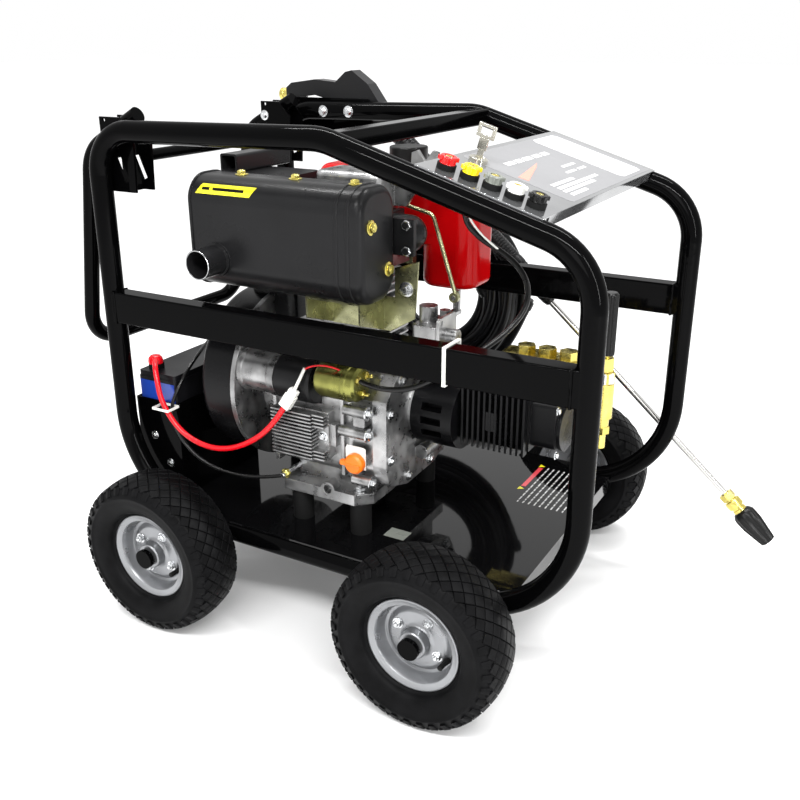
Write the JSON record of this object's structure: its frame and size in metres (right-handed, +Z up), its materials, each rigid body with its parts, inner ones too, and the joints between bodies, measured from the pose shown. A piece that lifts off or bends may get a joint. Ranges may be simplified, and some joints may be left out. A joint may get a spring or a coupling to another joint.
{
  "type": "diesel pressure washer",
  "caption": "Engine-driven pressure washer on a tubular cart with pneumatic wheels, pump with brass head, muffler, fuel tank, spray lance and coiled hose.",
  "frame": {"origin": "on the floor under the middle of the machine's length and width", "axes": "+X from the pull handle to the spray nozzle, +Y to the side that carries the lance, +Z up"},
  "size_m": [1.0924, 0.7258, 0.841],
  "materials": {
    "frame_black": "gloss black powder coat",
    "tray_black": "high-gloss black enamel",
    "battery_case": "moulded",
    "mount_rubber": "moulded rubber",
    "engine_alloy": "cast, lightly textured",
    "shroud_black": "satin black sheet",
    "satin_black": "satin black heat-resistant paint",
    "zinc_plate": "yellow-passivated zinc plate",
    "tank_red": "gloss red enamel",
    "cap_black": "moulded",
    "plug_orange": "moulded",
    "pump_black": "satin black casting",
    "brass": "forged and machined",
    "knob_black": "moulded",
    "panel_grey": "gloss grey with printed area",
    "key_nickel": "nickel plate",
    "gun_black": "moulded",
    "stainless": "drawn tube",
    "hose_black": "braid-reinforced hose",
    "cable_red": "flexible jacket",
    "cable_black": "flexible jacket",
    "nylon_white": "nylon",
    "bolt_steel": "zinc-plated",
    "cap_red": "moulded",
    "cap_yellow": "moulded",
    "cap_grey": "moulded",
    "cap_white": "moulded",
    "tyre_rubber": "block tread, matt",
    "rim_silver": "silver paint on pressed steel"
  },
  "bodies": {
    "cart": {"side_frame_right": "frame_black", "side_frame_left": "frame_black", "frame_cross_members": "frame_black", "base_tray": "tray_black", "battery_box": "frame_black", "battery": "battery_case", "axles": "frame_black", "engine_mounts": "mount_rubber", "crankcase": "engine_alloy", "timing_cover": "engine_alloy", "cylinder": "engine_alloy", "rocker_cover": "engine_alloy", "fan_housing": "shroud_black", "starter_motor": "satin_black", "voltage_regulator": "engine_alloy", "injection_pump": "engine_alloy", "muffler": "satin_black", "engine_brackets": "zinc_plate", "exhaust_elbow": "satin_black", "air_cleaner": "satin_black", "fuel_tank": "tank_red", "coupling_housing": "pump_black", "pump_crankcase": "pump_black", "pump_head": "brass", "unloader_valve": "brass", "control_panel": "panel_grey", "nozzle_grommets": "mount_rubber", "key_switch": "key_nickel", "side_hooks": "frame_black", "hose_coil": "hose_black", "battery_cable_red": "cable_red", "battery_cable_black": "cable_black", "harness_cable": "cable_black", "cable_fittings": "nylon_white", "fasteners": "bolt_steel"},
    "handle": {"pull_handle": "frame_black"},
    "lance": {"gun_body": "gun_black", "lance_sleeve": "gun_black", "lance_tube": "stainless", "nozzle_coupler": "brass", "turbo_nozzle": "knob_black"},
    "trigger": {"gun_trigger": "gun_black"},
    "filler_cap": {"fuel_cap": "cap_black"},
    "dipstick": {"oil_plug": "plug_orange"},
    "throttle": {"speed_lever": "zinc_plate"},
    "pressure_knob": {"unloader_knob": "knob_black"},
    "key": {"ignition_key": "key_nickel"},
    "wheel_rear_right": {"tyre_rear_right": "tyre_rubber", "rim_rear_right": "rim_silver"},
    "wheel_rear_left": {"tyre_rear_left": "tyre_rubber", "rim_rear_left": "rim_silver"},
    "wheel_front_right": {"tyre_front_right": "tyre_rubber", "rim_front_right": "rim_silver"},
    "wheel_front_left": {"tyre_front_left": "tyre_rubber", "rim_front_left": "rim_silver"},
    "nozzle_red": {"spare_nozzle_red": "cap_red"},
    "nozzle_yellow": {"spare_nozzle_yellow": "cap_yellow"},
    "nozzle_grey": {"spare_nozzle_grey": "cap_grey"},
    "nozzle_white": {"spare_nozzle_white": "cap_white"},
    "nozzle_black": {"spare_nozzle_black": "knob_black"}
  },
  "joints": [
    {"name": "wheel_rear_right_spin", "type": "hinge", "parent": "cart", "child": "wheel_rear_right", "pos_m": [-0.30273, -0.317, 0.13], "axis": [0, 1, 0], "continuous": true},
    {"name": "wheel_rear_left_spin", "type": "hinge", "parent": "cart", "child": "wheel_rear_left", "pos_m": [-0.30273, 0.317, 0.13], "axis": [0, 1, 0], "continuous": true},
    {"name": "wheel_front_right_spin", "type": "hinge", "parent": "cart", "child": "wheel_front_right", "pos_m": [0.17427, -0.317, 0.13], "axis": [0, 1, 0], "continuous": true},
    {"name": "wheel_front_left_spin", "type": "hinge", "parent": "cart", "child": "wheel_front_left", "pos_m": [0.17427, 0.317, 0.13], "axis": [0, 1, 0], "continuous": true},
    {"name": "handle_swing", "type": "hinge", "parent": "cart", "child": "handle", "pos_m": [-0.42673, 0, 0.763], "axis": [0, 1, 0], "range_deg": [0, 110]},
    {"name": "lance_lift", "type": "slide", "parent": "cart", "child": "lance", "axis": [0, 0, 1], "range_m": [0, 0.25]},
    {"name": "trigger_pull", "type": "hinge", "parent": "lance", "child": "trigger", "pos_m": [-0.30473, 0.272, 0.774], "axis": [0, 1, 0], "range_deg": [0, 12], "stiffness_Nm_per_rad": 0.4},
    {"name": "filler_cap_turn", "type": "hinge", "parent": "cart", "child": "filler_cap", "pos_m": [-0.06273, 0.074, 0.734], "axis": [0, 0, 1], "range_deg": [0, 90]},
    {"name": "dipstick_turn", "type": "hinge", "parent": "cart", "child": "dipstick", "pos_m": [-0.01473, -0.17, 0.292], "axis": [0, 1, 0], "range_deg": [0, 270]},
    {"name": "throttle_swing", "type": "hinge", "parent": "cart", "child": "throttle", "pos_m": [0.07027, -0.02, 0.526], "axis": [0, 1, 0], "range_deg": [-4, 12]},
    {"name": "pressure_knob_turn", "type": "hinge", "parent": "cart", "child": "pressure_knob", "pos_m": [0.29927, 0.03, 0.504], "axis": [0, 0, 1], "range_deg": [0, 720]},
    {"name": "key_turn", "type": "hinge", "parent": "cart", "child": "key", "pos_m": [0.14768, -0.116, 0.744], "axis": [0.2926, 0, 0.9562], "range_deg": [0, 90]},
    {"name": "nozzle_red_lift", "type": "slide", "parent": "cart", "child": "nozzle_red", "axis": [0.2926, 0, 0.9562], "range_m": [0, 0.04]},
    {"name": "nozzle_yellow_lift", "type": "slide", "parent": "cart", "child": "nozzle_yellow", "axis": [0.2926, 0, 0.9562], "range_m": [0, 0.04]},
    {"name": "nozzle_grey_lift", "type": "slide", "parent": "cart", "child": "nozzle_grey", "axis": [0.2926, 0, 0.9562], "range_m": [0, 0.04]},
    {"name": "nozzle_white_lift", "type": "slide", "parent": "cart", "child": "nozzle_white", "axis": [0.2926, 0, 0.9562], "range_m": [0, 0.04]},
    {"name": "nozzle_black_lift", "type": "slide", "parent": "cart", "child": "nozzle_black", "axis": [0.2926, 0, 0.9562], "range_m": [0, 0.04]}
  ]
}
